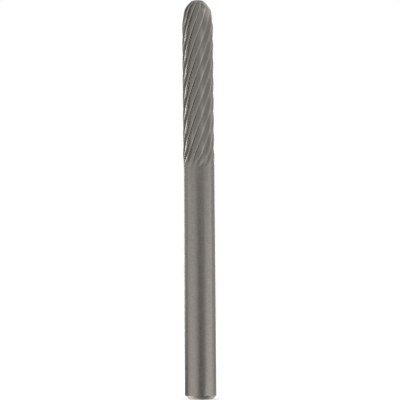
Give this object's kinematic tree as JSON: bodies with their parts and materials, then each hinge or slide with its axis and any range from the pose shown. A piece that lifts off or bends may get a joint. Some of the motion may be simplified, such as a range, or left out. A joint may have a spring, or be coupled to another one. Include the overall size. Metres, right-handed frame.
{
  "type": "carbide burr",
  "caption": "Solid carbide rotary burr with right-hand helical flutes over a blunt nose and a plain cylindrical shank for a collet.",
  "frame": {"origin": "centre of the flat end of the shank", "axes": "+Z along the axis of the rod, from the shank's end to the cutting tip; -Y is the side that the picture shows"},
  "size_m": [0.003, 0.003, 0.038],
  "materials": {
    "tungsten_carbide": "fine ground"
  },
  "bodies": {
    "root": {"carbide_burr": "tungsten_carbide"}
  },
  "joints": []
}
